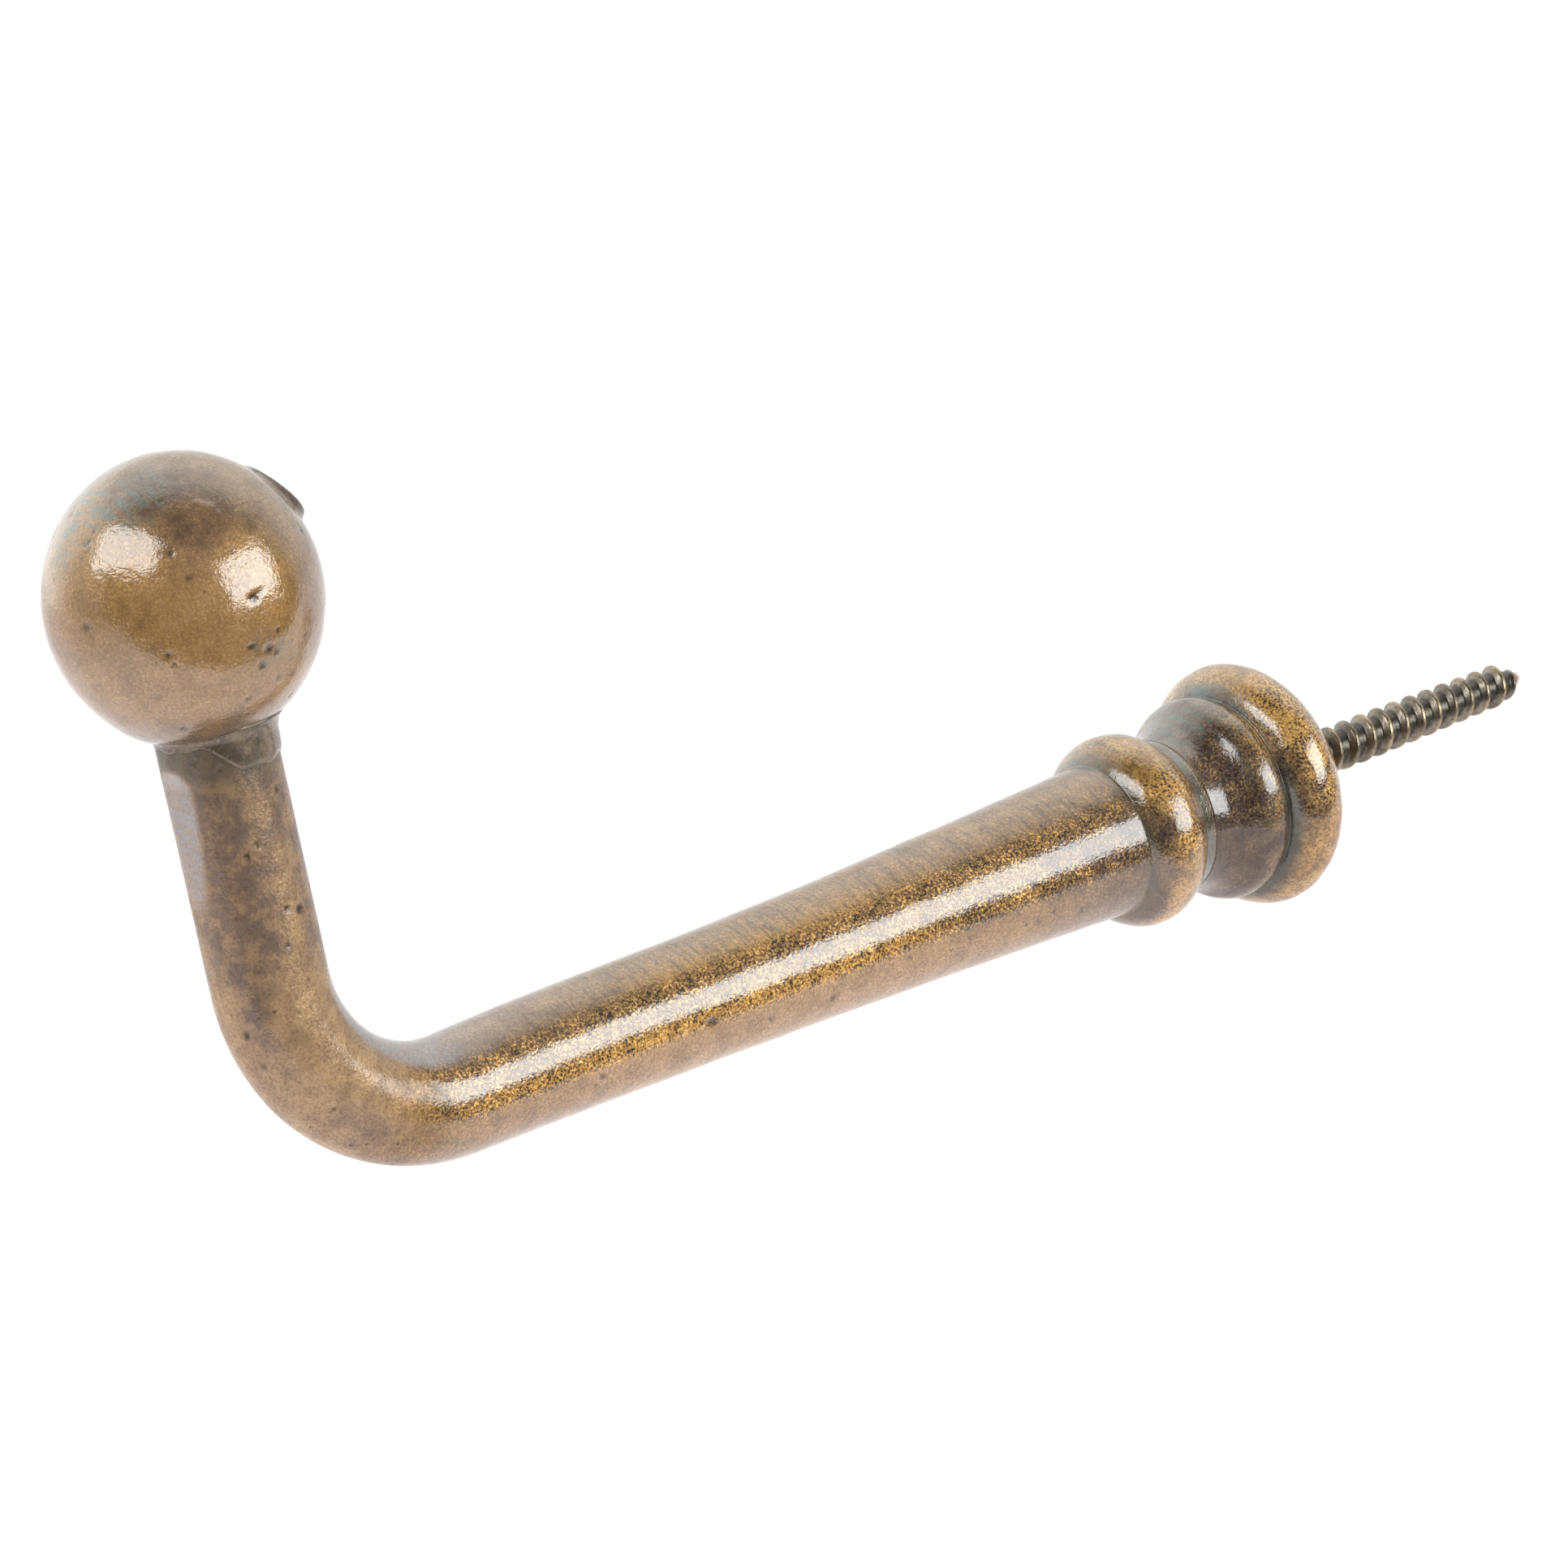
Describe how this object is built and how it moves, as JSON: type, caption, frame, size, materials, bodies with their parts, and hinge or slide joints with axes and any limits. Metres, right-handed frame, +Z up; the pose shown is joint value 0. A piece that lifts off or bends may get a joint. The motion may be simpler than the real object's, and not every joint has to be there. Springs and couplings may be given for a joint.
{
  "type": "curtain holdback hook",
  "caption": "L-shaped wall hook with a ball end that holds a curtain or shutter back: a turned base, a tapered cast stem and a hanger screw.",
  "frame": {"origin": "centre of the base's wall face, on the hanger screw's axis", "axes": "+Y runs along the hanger screw into the wall, -Y out into the room, +Z up along the hook's arm towards the ball, X across"},
  "size_m": [0.026, 0.1728, 0.0794],
  "materials": {
    "screw": "bronze plated, worn to brass on the crests",
    "base": "antique brass patina, lacquered",
    "casting": "antique brass patina, lacquered, fine cast texture",
    "ball": "antique brass patina, lacquered, worn",
    "stud": "plain",
    "braze": "dull filler metal, dark patina"
  },
  "bodies": {
    "wall_screw": {"hanger_screw": "screw"},
    "boss": {"base_boss": "base"},
    "hook": {"arm": "casting", "ball": "ball", "ball_stud": "stud", "braze_fillet": "braze"}
  },
  "joints": [
    {"name": "boss_slide", "type": "slide", "parent": "wall_screw", "child": "boss", "axis": [0, -1, 0], "range_m": [0, 0.0124]},
    {"name": "hook_turn", "type": "hinge", "parent": "boss", "child": "hook", "pos_m": [0, -0.0148, 0], "axis": [0, -1, 0], "range_deg": [0, 5580]}
  ],
  "couplings": [
    {"joint": "boss_slide", "follows": "hook_turn", "m_per_rad": 0.00012732}
  ]
}
